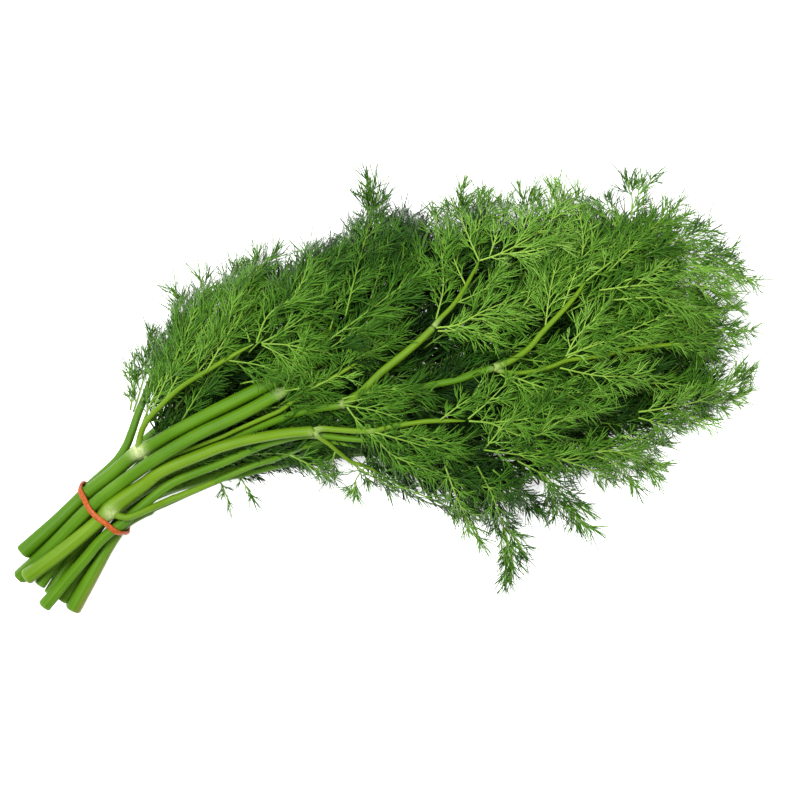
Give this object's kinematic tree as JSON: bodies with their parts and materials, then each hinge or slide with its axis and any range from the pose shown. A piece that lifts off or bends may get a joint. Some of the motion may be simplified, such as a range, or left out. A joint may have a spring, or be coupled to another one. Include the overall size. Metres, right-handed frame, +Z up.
{
  "type": "bunch of dill",
  "caption": "Bunch of fresh dill lying on its side: cut green stems held by a rubber band, fanning out into feathery, thread-like leaves.",
  "frame": {"origin": "under the middle of the bunch, on the surface it lies on", "axes": "+X along the bunch from the cut ends to the leaf tips, +Z up"},
  "size_m": [0.3314, 0.1898, 0.0452],
  "materials": {
    "stem": "satin, fresh plant stem, light green with pale nodes",
    "stalk": "satin, thin fresh leaf stalk, yellow-green",
    "leaf": "soft satin, thread-like fresh leaf",
    "band": "satin, orange natural rubber"
  },
  "bodies": {
    "root": {"rubber_band": "band", "stem_upper_left": "stem", "stem_centre_left": "stem", "stem_front": "stem", "stem_centre_right": "stem", "stem_right": "stem", "stem_under_right": "stem", "stem_outer_right": "stem", "stem_middle": "stem", "stem_long": "stem", "stem_under_left": "stem", "stem_core": "stem", "stem_base_right": "stem", "stem_base_left": "stem", "stem_base_outer": "stem", "stalk_left_leaf": "stalk", "stalk_thin_left": "stalk", "stalk_upper_leaf": "stalk", "stalk_upper_leaf_tip": "stalk", "stalk_right_upper": "stalk", "stalk_right_lower": "stalk", "stalk_front_leaf": "stalk", "stalk_hanging_leaf": "stalk", "leaf_base_left": "leaf", "leaf_base_middle": "leaf", "leaf_base_crest": "leaf", "leaf_base_low": "leaf", "leaf_base_right": "leaf", "leaf_left_outer": "leaf", "leaf_left_inner": "leaf", "leaf_left_upper": "leaf", "leaf_left_crown": "leaf", "leaf_top_tall": "leaf", "leaf_top_left": "leaf", "leaf_centre_left": "leaf", "leaf_thin_left": "leaf", "leaf_upper_crown": "leaf", "leaf_upper_left": "leaf", "leaf_upper_right": "leaf", "leaf_long_base": "leaf", "leaf_front_crown": "leaf", "leaf_front_right": "leaf", "leaf_front_lower": "leaf", "leaf_front_hanging": "leaf", "leaf_low_left": "leaf", "leaf_low_middle": "leaf", "leaf_low_right": "leaf", "leaf_low_end": "leaf", "leaf_tip_low": "leaf", "leaf_tip_middle": "leaf", "leaf_tip_upper": "leaf", "leaf_side_upper": "leaf", "leaf_side_top": "leaf", "leaf_crest_right": "leaf", "leaf_crest_left": "leaf", "leaf_inner_right": "leaf", "leaf_under_left": "leaf", "leaf_under_middle": "leaf", "leaf_under_right": "leaf", "leaf_under_crest": "leaf"}
  },
  "joints": []
}
